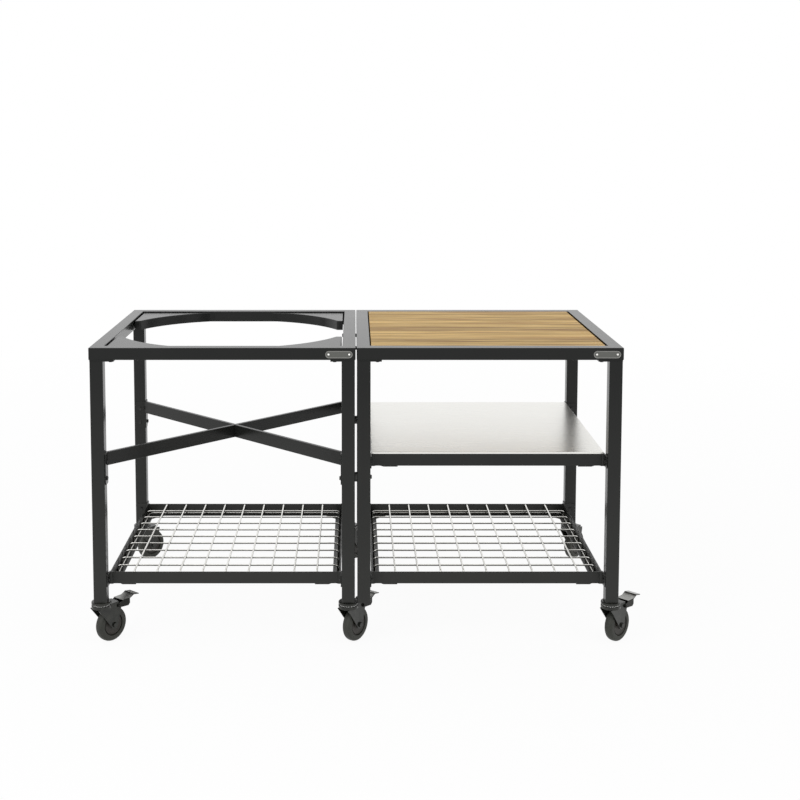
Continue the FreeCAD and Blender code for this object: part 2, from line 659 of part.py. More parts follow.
def brake_pedal():
    """A stepped pedal whose skirts straddle the fork, with pivot heads and a shoe over the tread."""
    top = [
        (PEDAL_TREAD_START, PEDAL_TREAD_Z),
        (PEDAL_RISER_START, PEDAL_TREAD_Z),
        (PEDAL_LIP_START, CROWN_BOTTOM + PEDAL_LIP_RISE),
        (PEDAL_TIP, CROWN_BOTTOM + PEDAL_TIP_RISE),
    ]
    tread = side_prism(top + [(x, z - PEDAL_SHEET) for x, z in reversed(top)], PEDAL_HALF_WIDTH)
    under = PEDAL_TREAD_Z - PEDAL_SHEET
    skirt = [
        (PEDAL_TREAD_START, under),
        (PEDAL_RISER_START, under),
        (PEDAL_RISER_START, PEDAL_SKIRT_BOTTOM + PEDAL_EAR),
        (PEDAL_RISER_START - PEDAL_EAR, PEDAL_SKIRT_BOTTOM),
        (PEDAL_PIVOT_X, PEDAL_PIVOT_Z - PEDAL_EAR),
        (PEDAL_PIVOT_X - PEDAL_EAR, PEDAL_PIVOT_Z - PEDAL_EAR / 2),
        (PEDAL_PIVOT_X - PEDAL_EAR, PEDAL_PIVOT_Z + PEDAL_EAR / 2),
        (PEDAL_PIVOT_X, PEDAL_PIVOT_Z + PEDAL_EAR),
    ]
    inner = CHEEK_OUTER + FACE_CLEARANCE
    skirts = side_prism(skirt, PEDAL_HALF_WIDTH).cut(side_prism(skirt, inner))
    heads = []
    for side in (-1, 1):
        seat = (PEDAL_PIVOT_X, side * PEDAL_HALF_WIDTH, PEDAL_PIVOT_Z)
        heads.append(bolt_head(seat, (0, side, 0), PEDAL_PIVOT_FLATS, PEDAL_PIVOT_HEAD))
    shoe_bottom = wheel_top(SHOE_X) + SHOE_CLEARANCE
    shoe = box((SHOE_X, -SHOE_HALF_WIDTH, shoe_bottom), (SHOE_X + SHOE_LENGTH, SHOE_HALF_WIDTH, under))
    return tread.fuse([skirts, shoe] + heads).removeSplitter()


def wheel_top(x):
    """Height of the tread over a place behind the swivel axis."""
    return WHEEL_RADIUS + math.sqrt(WHEEL_RADIUS**2 - (x - TRAIL) ** 2)


def swivel_place(bay, corner):
    """Where a leg's swivel axis stands on the floor."""
    turned = quarter_turn(Part.Vertex(LEG_CENTRE, LEG_CENTRE, 0), CORNERS[corner])
    return turned.Point + point(bay_x(bay), 0, 0)


def placed_caster(shape, bay, corner, angle):
    copy = shape.copy()
    copy.rotate(point(0, 0, 0), UP, angle)
    copy.translate(swivel_place(bay, corner))
    return copy


def build_frames():
    nodes["grill_top_frame"] = [top_frame(False)]
    nodes["worktop_top_frame"] = [moved(top_frame(True), x=WORKTOP_BAY_X)]
    plates = []
    for bay, name in enumerate(("grill", "worktop")):
        for corner, turns in CORNERS.items():
            nodes[f"{name}_{corner}_leg"] = [moved(quarter_turn(leg(), turns), x=bay_x(bay))]
        plates += [moved(plate, x=bay_x(bay)) for plate in all_corners(leg_plate())]
    nodes["leg_plates"] = plates
    bare = [quarter_turn(threaded_plug(), CORNERS[corner]) for corner in BARE_FEET]
    nodes["threaded_plugs"] = [moved(plug, x=WORKTOP_BAY_X) for plug in bare]


def build_grill_bay():
    plate = infill_plate()
    front = [plate, mirrored_x(plate)]
    nodes["infill_plates"] = front + [mirrored_y(piece) for piece in front]
    nodes["support_bar_left"] = [support_bar(True)]
    nodes["support_bar_right"] = [quarter_turn(support_bar(False), 1)]
    nodes["support_brackets"] = all_corners(support_bracket())
    bolts = []
    for drop in SUPPORT_BOLT_DROPS:
        for bolt in leg_face_bolts(SUPPORT_TOP - drop):
            bolts += all_corners(bolt)
    nodes["support_bolts"] = bolts


def build_shelves():
    lower = shelf_frame(LOWER_SHELF_TOP)
    nodes["grill_shelf_frame"] = [lower]
    nodes["worktop_shelf_frame"] = [moved(lower, x=WORKTOP_BAY_X)]
    nodes["middle_shelf_frame"] = [moved(shelf_frame(MIDDLE_SHELF_TOP), x=WORKTOP_BAY_X)]
    nodes["grill_shelf_grid"] = shelf_grid()
    nodes["worktop_shelf_grid"] = [moved(piece, x=WORKTOP_BAY_X) for piece in shelf_grid()]
    nodes["shelf_panel"] = [moved(shelf_panel(), x=WORKTOP_BAY_X)]
    bolts = []
    for bay, top in ((0, LOWER_SHELF_TOP), (1, LOWER_SHELF_TOP), (1, MIDDLE_SHELF_TOP)):
        for bolt in leg_face_bolts(top - SHELF_RAIL_HEIGHT / 2):
            bolts += [moved(copy, x=bay_x(bay)) for copy in all_corners(bolt)]
    nodes["shelf_bolts"] = bolts


def build_worktop_and_trim():
    nodes["worktop_slats"] = [moved(slat, x=WORKTOP_BAY_X) for slat in worktop_slats()]
    nodes["worktop_battens"] = [moved(batten, x=WORKTOP_BAY_X) for batten in worktop_battens()]
    nodes["name_plates"] = [moved(name_plate(), x=bay_x(bay)) for bay in (0, 1)]
    nodes["link_spacers"], nodes["link_bolts"] = bay_links()


def build_casters():
    heads = []
    for name, (bay, corner, angle, braked) in CASTERS.items():
        pieces = {"fork": caster_fork(), "wheel": caster_wheel()}
        if braked:
            pieces["pedal"] = brake_pedal()
        for piece, shape in pieces.items():
            nodes[f"{name}_caster_{piece}"] = [placed_caster(shape, bay, corner, angle)]
        heads.append(placed_caster(caster_head(), bay, corner, 0))
    nodes["caster_heads"] = heads


build_frames()
build_grill_bay()
build_shelves()
build_worktop_and_trim()
build_casters()

# The origin is on the floor, in the middle of the space that the whole table takes up.
whole = Part.makeCompound([solid for solids in nodes.values() for solid in solids]).BoundBox
ORIGIN = point(whole.Center.x, whole.Center.y, 0)

os.makedirs("parts", exist_ok=True)
for node, solids in nodes.items():
    shape = solids[0] if len(solids) == 1 else Part.makeCompound(solids)
    shape.translate(-ORIGIN)
    shape.exportStep(f"parts/{node}.step")
print(len(nodes), "nodes, origin at", ORIGIN, "size", whole.XLength, whole.YLength, whole.ZLength)
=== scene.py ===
import json
import math

import bmesh
import bpy
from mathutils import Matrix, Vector

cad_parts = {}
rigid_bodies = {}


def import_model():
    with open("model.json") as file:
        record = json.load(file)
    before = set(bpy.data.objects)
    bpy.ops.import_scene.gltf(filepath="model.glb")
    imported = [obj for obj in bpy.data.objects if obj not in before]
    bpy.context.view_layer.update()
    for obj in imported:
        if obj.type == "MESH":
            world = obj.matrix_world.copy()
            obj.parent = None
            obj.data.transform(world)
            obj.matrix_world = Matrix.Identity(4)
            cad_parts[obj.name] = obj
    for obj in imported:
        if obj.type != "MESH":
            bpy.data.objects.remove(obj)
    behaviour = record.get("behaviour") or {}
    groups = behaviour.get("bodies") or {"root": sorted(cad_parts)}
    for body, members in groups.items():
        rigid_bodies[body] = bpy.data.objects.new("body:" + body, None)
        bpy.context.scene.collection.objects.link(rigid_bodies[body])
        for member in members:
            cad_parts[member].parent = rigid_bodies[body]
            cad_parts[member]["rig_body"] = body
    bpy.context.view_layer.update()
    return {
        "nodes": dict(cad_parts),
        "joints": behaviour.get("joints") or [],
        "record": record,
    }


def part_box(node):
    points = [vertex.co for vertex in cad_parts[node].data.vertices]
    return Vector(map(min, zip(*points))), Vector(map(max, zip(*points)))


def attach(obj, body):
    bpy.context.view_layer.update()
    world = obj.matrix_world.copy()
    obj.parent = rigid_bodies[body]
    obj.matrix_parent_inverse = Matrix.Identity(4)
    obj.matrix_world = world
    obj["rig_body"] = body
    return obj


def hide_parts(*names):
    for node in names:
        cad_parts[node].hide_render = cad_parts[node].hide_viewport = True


# Kamado grill table: eased tube and sheet, round wires, casters, bolts, boards and their finishes.
# Metres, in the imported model's frame: +X right, +Y back, +Z up from the floor.

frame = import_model()

# Bays, rails and legs
BAY = 0.762                 # side of each square top frame
MIDDLE = BAY / 2
GRILL_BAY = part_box("grill_top_frame")[0]
WORKTOP_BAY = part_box("worktop_top_frame")[0]
SEAM = (WORKTOP_BAY.x + GRILL_BAY.x + BAY) / 2
TABLE_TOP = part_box("worktop_top_frame")[1].z
RAIL_WIDTH = 0.038
LEG_CENTRE = 0.021          # from the outer faces of the rails
LEG_CENTRES = (LEG_CENTRE, BAY - LEG_CENTRE)
LEG_INNER = 0.040           # from the outer faces of the rails
LEG_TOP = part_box("grill_front_left_leg")[1].z

# Wire grids
WIRE_RADIUS = 0.0025
WIRE_SIDES = 12
WIRE_BEND = 0.009           # radius of the bends at the wires' ends
WIRE_BEND_STEPS = 6
WIRE_COUNT = 9
WIRE_PITCH = 0.067
GRID_SPAN = 0.654
GRID_CORNER = 0.014         # radius of the rim wire's corners
UPPER_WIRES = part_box("grill_shelf_grid")[1].z - WIRE_RADIUS
LOWER_WIRES = UPPER_WIRES - 2 * WIRE_RADIUS
RIM_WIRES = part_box("grill_shelf_grid")[0].z + WIRE_RADIUS

# Ears of the shelf frames
EAR_ABOVE = 0.012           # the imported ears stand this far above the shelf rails
EAR_TRIM = 0.0115           # taken off their tops
EAR_LIFT = 0.0035           # taken off their bottoms
EAR_SHORTER = 0.007         # taken off their ends
EAR_ENDS = (0.018, 0.009)   # the ends lie between these, from the faces on the legs

# Bolts
SHEET_FACE = 0.043          # ears and brackets on the legs, from the outer faces of the rails
SUPPORT_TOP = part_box("support_brackets")[1].z
SUPPORT_BOLTS = (SUPPORT_TOP - 0.025, SUPPORT_TOP - 0.073)
SHELF_BOLT_DROP = 0.0175    # below the top of the shelf rails
LOWER_SHELF_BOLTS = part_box("grill_shelf_frame")[1].z - EAR_ABOVE - SHELF_BOLT_DROP
MIDDLE_SHELF_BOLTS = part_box("middle_shelf_frame")[1].z - EAR_ABOVE - SHELF_BOLT_DROP
PLATE_BOLT = LEG_INNER + 0.020  # of a leg's top plate, from the outer faces of the rails
BOLT_HEAD = 0.004
BOLT_FLATS = 0.010
HEAD_SEAT = 0.0008          # height of the head's underside in the washer

# Spacers and bolts in the seam between the bays
RAIL_LINK_HEIGHT = TABLE_TOP - 0.026
RAIL_LINKS = (0.150, MIDDLE)   # from the front
RAIL_SPACER = (0.0055, 0.003)  # radius and length
LEG_LINK_HEIGHT = SUPPORT_BOLTS[1] + 0.004
LEG_SPACER = (0.0140, 0.007)   # radius and length

# Boards of the worktop
BOARD_FRONT = WORKTOP_BAY.y + 0.0385
BOARD_PITCH = 0.06856
BOARD_GAPS = ((-1, 0.0012), (1, 0.0045))  # drawn in at the left end and at the right end

# Name plates
NAME_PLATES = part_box("name_plates")
PLATE_FROM_CORNER = 0.0475  # middle of a plate, from the right face of its bay
PLATE_RIM = 0.0022
PLATE_FIELD_EDGE = 0.0004   # width of the slope round the sunk field
PLATE_SINK = 0.0005
RIVET_REACH = 0.0295        # from the middle of a plate

# Casters
CASTERS = ("front_left", "front_middle", "front_right", "rear_left", "rear_middle", "rear_right")
BRAKED = CASTERS[:3]
CASTER_TOP = 0.128
PLUG_WIDTH = 0.038
PLUG_FLANGE = 0.002
PLUG_STEP = 0.0021          # from the flange's edge to the core
PLUG_DEPTH = 0.022
BALL_COUNT = 32
BALL_RADIUS = 0.0018
BALL_CIRCLE = 0.0243
BALL_HEIGHT = 0.1184
JOINTS = {joint["name"]: joint for joint in frame["joints"]}

# Outlines that are turned about an axis, as (radius, place along the axis)
WASHER = [(0, 0), (0.0068, 0), (0.0070, 0.0002), (0.0070, 0.0008), (0.0067, 0.0010), (0, 0.0010)]
RIVET = [(0, 0), (0.0030, 0), (0.0030, 0.0003), (0.0025, 0.0009), (0.0014, 0.0013), (0, 0.0015)]
SPACER = [(0, -0.5), (0.92, -0.5), (1, -0.42), (1, 0.42), (0.92, 0.5), (0, 0.5)]  # in shares
TREAD = [(0.0320, 0.0075), (0.0323, 0.0119), (0.0330, 0.0129), (0.0345, 0.0130), (0.0405, 0.0130),
         (0.0438, 0.0127), (0.0460, 0.0117), (0.0477, 0.0101), (0.0489, 0.0080), (0.0496, 0.0055),
         (0.0499, 0.0030), (0.0499, 0.0005), (0.0500, 0.0003)]
DISC = [(0.0041, 0.0144), (0.0100, 0.0144), (0.0112, 0.0140), (0.0118, 0.0130), (0.0121, 0.0108),
        (0.0132, 0.0098), (0.0170, 0.0094), (0.0240, 0.0094), (0.0276, 0.0098), (0.0290, 0.0106),
        (0.0295, 0.0112), (0.0299, 0.0109), (0.0302, 0.0075), (0.0319, 0.0075)]
CUP = [(0.0, 0.1212), (0.0236, 0.1212), (0.0250, 0.1208), (0.0262, 0.1202), (0.0276, 0.1203),
       (0.0287, 0.1210), (0.0290, 0.1222), (0.0290, 0.1250), (0.0286, 0.1268), (0.0274, 0.1278),
       (0.0258, 0.1280), (0.0, 0.1280)]
RACE = [(0.0, 0.1210), (0.0, 0.1173), (0.0216, 0.1173), (0.0220, 0.1177), (0.0220, 0.1190),
        (0.0212, 0.1200), (0.0212, 0.1210)]

# Modelling
NEAR = 0.001                # faces and edges this close to a level belong to it
MERGE = 0.000001
CAD_MERGE = 0.00001
FLAT_ANGLE = math.radians(0.5)
EDGE_ANGLE = math.radians(25)
OUT = {"left": (0, -math.pi / 2, 0), "right": (0, math.pi / 2, 0), "front": (math.pi / 2, 0, 0),
       "back": (-math.pi / 2, 0, 0), "down": (math.pi, 0, 0)}

# Floor and light
FLOOR_SIZE = 60
FLOOR_CUTS = 3
FLOOR_WHITE = 0.93          # share of plain white near the table, which leaves a faint shadow
FLOOR_FADE = (1.2, 5.0)     # from here to there the floor turns fully white
WORLD_LIGHT = 0.72
LIGHT_AIM = Vector((0, 0, 0.5))


class Amount:
    """One output of a node. Arithmetic on it adds Math nodes."""

    def __init__(self, nodes, socket):
        self.nodes = nodes
        self.socket = socket

    def result(self, operation, first, second=0.0):
        """What a Math node makes of one or two values."""
        return self.nodes.node("ShaderNodeMath", {"operation": operation}, {0: first, 1: second})

    def __add__(self, other):
        return self.result("ADD", self, other)

    def __radd__(self, other):
        return self.result("ADD", other, self)

    def __sub__(self, other):
        return self.result("SUBTRACT", self, other)

    def __rsub__(self, other):
        return self.result("SUBTRACT", other, self)

    def __mul__(self, other):
        return self.result("MULTIPLY", self, other)

    def __rmul__(self, other):
        return self.result("MULTIPLY", other, self)

    def __truediv__(self, other):
        return self.result("DIVIDE", self, other)

    def __rtruediv__(self, other):
        return self.result("DIVIDE", other, self)

    def whole(self):
        """The whole number below."""
        return self.result("FLOOR", self)

    def sine(self):
        return self.result("SINE", self)

    def size(self):
        """The amount without its sign."""
        return self.result("ABSOLUTE", self)


class Nodes:
    """The nodes of a material or of the world, each made by one method."""

    def __init__(self, owner):
        owner.use_nodes = True
        self.tree = owner.node_tree

    def node(self, kind, settings=None, inputs=None, output=0):
        """Adds a node: its settings first, then its sockets' values and links. Gives one output."""
        made = self.tree.nodes.new(kind)
        for setting, value in (settings or {}).items():
            setattr(made, setting, value)
        for socket, value in (inputs or {}).items():
            if isinstance(value, Amount):
                self.tree.links.new(value.socket, made.inputs[socket])
            else:
                made.inputs[socket].default_value = value
        return Amount(self, made.outputs[output])

    def show(self, shader):
        """Links a shader to the output."""
        last = next(node for node in self.tree.nodes if "Output" in node.bl_idname)
        self.tree.links.new(shader.socket, last.inputs["Surface"])

    def seen_directly(self):
        """1 for camera, glossy and transmission rays, and otherwise 0."""
        seen = 0.0
        for ray in ("Is Camera Ray", "Is Glossy Ray", "Is Transmission Ray"):
            seen = self.node("ShaderNodeLightPath", output=ray) + seen
        return seen


class Finish(Nodes):
    """A procedural material round one Principled shader, patterned by Object coordinates."""

    def __init__(self, name, **fixed):
        self.material = bpy.data.materials.new(name)
        super().__init__(self.material)
        self.shader = self.tree.nodes["Principled BSDF"]
        for socket, value in fixed.items():
            self.shader.inputs[socket.replace("_", " ")].default_value = value
        self.place = self.node("ShaderNodeTexCoord", output="Object")

    def along(self, axis):
        """Object coordinates along one axis."""
        return self.node("ShaderNodeSeparateXYZ", {}, {"Vector": self.place}, axis)

    def upward(self):
        """How far a surface faces up, from -1 to 1, the same at every pose."""
        facing = self.node("ShaderNodeTexCoord", output="Normal")
        return self.node("ShaderNodeSeparateXYZ", {}, {"Vector": facing}, "Z")

    def noise(self, scale, detail, rough=0.5, start=None):
        """Noise from 0 to 1, with its number of waves to the metre for each axis."""
        place = self.node("ShaderNodeMapping", {}, {"Vector": start or self.place, "Scale": scale})
        return self.node("ShaderNodeTexNoise", {}, {"Vector": place, "Scale": 1.0, "Detail": detail,
                                                    "Roughness": rough})

    def between(self, low, high, share):
        """A value or a share of it, brought from between low and high to between 0 and 1."""
        limits = {"Value": share, "From Min": low, "From Max": high}
        return self.node("ShaderNodeMapRange", {}, limits)

    def mixed(self, share, first, second):
        """A colour between two colours."""
        colours = {0: share, 6: first, 7: second}
        return self.node("ShaderNodeMix", {"data_type": "RGBA"}, colours, 2)

    def tinted(self, colour, tint):
        """A colour multiplied by a tint."""
        settings = {"data_type": "RGBA", "blend_type": "MULTIPLY"}
        return self.node("ShaderNodeMix", settings, {0: 1.0, 6: colour, 7: tint}, 2)

    def wear(self, **fed):
        """Feeds what changes over the surface to the shader's own sockets."""
        for socket, value in fed.items():
            self.tree.links.new(value.socket, self.shader.inputs[socket.replace("_", " ")])
        return self.material

    def relief(self, height, depth):
        """A bump of a depth in metres."""
        return self.node("ShaderNodeBump", {}, {"Height": height, "Distance": depth}, "Normal")


def rgb(red, green, blue):
    """An opaque colour, linear."""
    return (red, green, blue, 1.0)


def powder_coat():
    """Satin black powder coat with a fine orange peel, painted lighter towards the floor as light
    from the floor, and rougher there.
    """
    finish = Finish("satin_powder_coat", IOR=1.33)
    peel = finish.noise((850, 850, 850), 2.0)
    cloud = finish.noise((7, 7, 7), 3.0)
    coat = finish.mixed(cloud, rgb(0.0050, 0.0056, 0.0052), rgb(0.0085, 0.0090, 0.0084))
    # Painted light: the coat is coloured lighter towards the floor, as if lit from the floor; the
    # same share makes it rougher there.
    painted_floor_light = finish.between(0.80, 0.05, finish.along("Z")) * (cloud * 0.4 + 0.8)
    colour = finish.mixed(painted_floor_light, coat, rgb(0.0250, 0.0255, 0.0235))
    return finish.wear(Base_Color=colour, Roughness=0.17 + cloud * 0.04 + peel * 0.03 + painted_floor_light * 0.12,
                       Normal=finish.relief(peel, 0.00001))


def brushed_sheet():
    """Brushed stainless sheet, its grain from left to right."""
    finish = Finish("brushed_stainless", Metallic=1.0)
    grain = finish.noise((7, 900, 900), 4.0, 0.6)
    cloud = finish.noise((5, 9, 9), 2.0)
    share = finish.between(0.3, 0.7, grain)
    colour = finish.mixed(share, rgb(0.820, 0.815, 0.780), rgb(0.885, 0.877, 0.840))
    return finish.wear(Base_Color=colour, Roughness=0.25 + share * 0.04 + cloud * 0.03,
                       Normal=finish.relief(grain, 0.000006))


def oiled_boards():
    """Oiled hardwood boards from left to right, each of its own tone, dark at the joints."""
    finish = Finish("oiled_hardwood", IOR=1.42, Specular_IOR_Level=0.22)
    across = (finish.along("Y") - BOARD_FRONT) / BOARD_PITCH
    board = across.whole()
    one_way = {"noise_dimensions": "1D"}
    tone = finish.node("ShaderNodeTexWhiteNoise", one_way, {"W": board})
    other_tone = finish.node("ShaderNodeTexWhiteNoise", one_way, {"W": board + 40.5})
    shift = finish.node("ShaderNodeCombineXYZ", {}, {"X": tone * 9.0, "Z": other_tone * 3.0})
    place = finish.node("ShaderNodeVectorMath", {"operation": "ADD"}, {0: finish.place, 1: shift})
    figure = finish.noise((1.1, 12, 12), 3.0, 0.55, place)
    bands = finish.between(-0.8, 0.9, (across * 11.0 + figure * 26.0).sine())
    streaks = finish.between(0.40, 0.60, finish.noise((2.3, 62, 62), 3.0, 0.68, place))
    fine = finish.between(0.34, 0.66, finish.noise((3.5, 240, 240), 3.0, 0.6, place))
    fibres = finish.noise((24, 1500, 1500), 2.0, 0.5, place)
    pores = finish.between(0.60, 0.72, fibres)
    patch = finish.between(0.52, 0.66, finish.noise((2.2, 34, 34), 2.0, 0.5, place))
    shade = bands * 0.16 + streaks * 0.56 + fine * 0.28
    wood = finish.mixed(shade, rgb(0.270, 0.162, 0.058), rgb(0.780, 0.540, 0.212))
    wood = finish.mixed(patch * 0.55, wood, rgb(0.31, 0.150, 0.055))
    wood = finish.mixed(pores * 0.35, wood, rgb(0.20, 0.105, 0.040))
    wood = finish.tinted(wood, finish.mixed(tone, rgb(0.80, 0.79, 0.77), rgb(1.16, 1.15, 1.12)))
    joint = finish.between(0.44, 0.50, (across - board - 0.5).size())
    wood = finish.mixed(joint * 0.55, wood, rgb(0.17, 0.10, 0.045))
    return finish.wear(Base_Color=wood, Roughness=0.62 - shade * 0.10 + pores * 0.1,
                       Normal=finish.relief(fine * 0.7 - pores * 0.3, 0.0002))


def bright_wire():
    """Bright plated wire, with painted shade that makes its undersides nearly black."""
    finish = Finish("plated_wire", Metallic=1.0)
    cloud = finish.noise((60, 60, 60), 3.0)
    fine = finish.noise((1400, 1400, 1400), 1.0)
    plated_tone = finish.mixed(cloud, rgb(0.76, 0.750, 0.71), rgb(0.93, 0.92, 0.885))
    # Painted shade: faces that look down are coloured nearly black, as if shaded from below.
    painted_underside_shade = finish.between(0.60, 0.32, finish.upward())
    colour = finish.mixed(painted_underside_shade, plated_tone, rgb(0.035, 0.034, 0.029))
    return finish.wear(Base_Color=colour, Roughness=0.22 + cloud * 0.14,
                       Normal=finish.relief(fine, 0.00001))


def dark_plate(name, low, high, rough, metallic=0.85):
    """Steel between two tones, cloudy and slightly worn."""
    finish = Finish(name, Metallic=metallic)
    cloud = finish.noise((45, 45, 45), 4.0, 0.6)
    fine = finish.noise((1600, 1600, 1600), 1.0)
    share = finish.between(0.35, 0.68, cloud)
    return finish.wear(Base_Color=finish.mixed(share, rgb(*low), rgb(*high)),
                       Roughness=rough + cloud * 0.16, Normal=finish.relief(fine, 0.000015))


def pedal_plate():
    """Blackened pressed steel, with a painted highlight that makes its upward faces bright."""
    finish = Finish("pedal_plate", Metallic=0.9)
    cloud = finish.noise((70, 70, 70), 4.0, 0.6)
    dark = finish.mixed(cloud, rgb(0.012, 0.012, 0.011), rgb(0.032, 0.032, 0.029))
    # Painted highlight: the upward faces are coloured bright grey, as if catching the light from
    # above.
    painted_highlight_colour = finish.mixed(cloud, rgb(0.22, 0.22, 0.21), rgb(0.42, 0.42, 0.405))
    painted_highlight_share = finish.between(0.91, 0.96, finish.upward())
    colour = finish.mixed(painted_highlight_share, dark, painted_highlight_colour)
    return finish.wear(Base_Color=colour, Roughness=0.22 + cloud * 0.14)


def embossed_plate():
    """Satin grey name plate, its sunk field filled darker."""
    finish = Finish("embossed_grey_plate", Metallic=0.8)
    cloud = finish.noise((160, 160, 160), 3.0)
    front = NAME_PLATES[0].y
    sunk = finish.between(front + PLATE_SINK * 0.3, front + PLATE_SINK * 0.8, finish.along("Y"))
    rim = finish.mixed(cloud, rgb(0.20, 0.20, 0.19), rgb(0.27, 0.27, 0.255))
    colour = finish.mixed(sunk, rim, rgb(0.125, 0.127, 0.118))
    return finish.wear(Base_Color=colour, Roughness=0.32 + cloud * 0.12)


def tread_rubber():
    """Dark grey moulded tread with a matt skin."""
    finish = Finish("tread_rubber", IOR=1.40)
    skin = finish.noise((1100, 1100, 1100), 2.0)
    cloud = finish.noise((38, 38, 38), 3.0)
    colour = finish.mixed(cloud, rgb(0.018, 0.019, 0.015), rgb(0.040, 0.041, 0.034))
    return finish.wear(Base_Color=colour, Roughness=0.50 + cloud * 0.15,
                       Normal=finish.relief(skin, 0.00004))


def moulded_black(name, low, high):
    """Black moulded plastic with a fine grain."""
    finish = Finish(name, IOR=1.42)
    grain = finish.noise((1800, 1800, 1800), 1.0)
    cloud = finish.noise((30, 30, 30), 2.0)
    return finish.wear(Base_Color=finish.mixed(cloud, rgb(*low), rgb(*high)),
                       Roughness=0.42 + cloud * 0.12, Normal=finish.relief(grain, 0.00003))


CASTER_PLATE = ((0.011, 0.012, 0.010), (0.028, 0.029, 0.024))
FINISHES = {
    "powder_coat": powder_coat(),
    "wire_steel": bright_wire(),
    "plug_black": moulded_black("black_plug", (0.010, 0.010, 0.010), (0.018, 0.018, 0.018)),
    "stainless_sheet": brushed_sheet(),
    "acacia_wood": oiled_boards(),
    "plate_metal": embossed_plate(),
    "bolt_steel": dark_plate("black_bolt", (0.022, 0.022, 0.022), (0.050, 0.050, 0.048), rough=0.28),
    "zinc_steel": dark_plate("dark_caster_plate", *CASTER_PLATE, rough=0.12, metallic=0.3),
    "pedal_steel": pedal_plate(),
    "caster_wheel": tread_rubber(),
}
DISC_BLACK = moulded_black("wheel_disc", (0.016, 0.014, 0.011), (0.027, 0.023, 0.019))
BALL_STEEL = dark_plate("bearing_steel", (0.80, 0.80, 0.78), (0.92, 0.92, 0.90), rough=0.05,
                        metallic=1.0)
RIVET_STEEL = dark_plate("rivet_steel", (0.74, 0.73, 0.70), (0.86, 0.85, 0.82), rough=0.20)
SLOTS = {part["node"]: part["material_slot"] for part in frame["record"]["subparts"]}


def fresh(name, add, **settings):
    """Adds a primitive as the only selected object and names it."""
    bpy.ops.object.select_all(action="DESELECT")
    add(**settings)
    piece = bpy.context.active_object
    piece.name = name
    return piece


def only(piece):
    """Makes one piece the active and only selected object."""
    bpy.ops.object.select_all(action="DESELECT")
    piece.select_set(True)
    bpy.context.view_layer.objects.active = piece


def apply_place():
    """Puts the selected objects' places, turns and scales in their meshes."""
    bpy.ops.object.transform_apply(location=True, rotation=True, scale=True)


def select_all_points():
    """Selects the whole mesh of the piece in edit mode."""
    bpy.ops.mesh.select_all(action="SELECT")


def bevel_all(width):
    """Rounds every edge of the piece in edit mode."""
    bpy.ops.mesh.select_mode(type="EDGE")
    select_all_points()
    bpy.ops.mesh.bevel(offset=width, segments=2, affect="EDGES")


def into_edit():
    """Edit mode on the active piece, with all its points selected."""
    bpy.ops.object.mode_set(mode="EDIT")
    bpy.ops.mesh.select_mode(type="VERT")
    select_all_points()


def pick_faces(wanted):
    """Selects the faces of the piece in edit mode that pass a test."""
    piece = bpy.context.active_object
    bpy.ops.mesh.select_mode(type="FACE")
    bpy.ops.mesh.select_all(action="DESELECT")
    shape = bmesh.from_edit_mesh(piece.data)
    for face in shape.faces:
        face.select = wanted(face)
    shape.select_flush_mode()
    bmesh.update_edit_mesh(piece.data)


def slide(*value):
    """Moves what is selected by a distance."""
    bpy.ops.transform.translate(value=value)


def close_up(piece):
    """Merges doubles, turns the faces outwards and puts the piece's place in its mesh."""
    select_all_points()
    bpy.ops.mesh.remove_doubles(threshold=MERGE)
    bpy.ops.mesh.normals_make_consistent(inside=False)
    bpy.ops.object.mode_set(mode="OBJECT")
    only(piece)
    apply_place()
    return piece


def smooth(piece, degrees=35):
    """Shades curves smooth and keeps the flat faces next to them true."""
    only(piece)
    bpy.ops.object.shade_smooth_by_angle(angle=math.radians(degrees))
    bpy.ops.object.modifier_add(type="WEIGHTED_NORMAL")
    weighted = piece.modifiers[-1]
    weighted.keep_sharp = True
    bpy.ops.object.modifier_apply(modifier=weighted.name)
    return piece


def push(*value):
    """Extrudes what is selected by a distance."""
    bpy.ops.mesh.extrude_region_move(TRANSFORM_OT_translate={"value": value})


def turned(name, outline, steps):
    """Turns an outline of (radius, height) points about the Z axis."""
    radius, height = outline[0]
    piece = fresh(name, bpy.ops.mesh.primitive_plane_add, size=0.001, location=(radius, 0, height))
    into_edit()
    bpy.ops.mesh.merge(type="CENTER")
    select_all_points()
    for (near, low), (far, high) in zip(outline, outline[1:]):
        push(far - near, 0, high - low)
    select_all_points()
    bpy.ops.mesh.remove_doubles(threshold=MERGE)
    select_all_points()
    bpy.ops.mesh.spin(steps=steps, angle=2 * math.pi, center=(0, 0, 0), axis=(0, 0, 1))
    return smooth(close_up(piece))


def placed(piece, name, at, turn=(0, 0, 0)):
    """A copy with its own mesh, turned and moved, its place in its mesh."""
    copy = piece.copy()
    copy.data = piece.data.copy()
    copy.name = name
    bpy.context.scene.collection.objects.link(copy)
    copy.rotation_euler = turn
    copy.location = at
    only(copy)
    apply_place()
    return copy


def joined(pieces, name):
    """Several pieces made one."""
    only(pieces[0])
    for piece in pieces:
        piece.select_set(True)
    bpy.ops.object.join()
    pieces[0].name = name
    return pieces[0]


def finished(piece, body, slot, *nodes, finish=None):
    """Gives a piece its finish, its body and the nodes that it stands for."""
    piece.data.materials.clear()
    piece.data.materials.append(finish or FINISHES[slot])
    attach(piece, body)
    if nodes:
        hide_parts(*nodes)
    return piece


def drop(*pieces):
    """Removes the patterns that copies were made from."""
    for piece in pieces:
        bpy.data.objects.remove(piece)


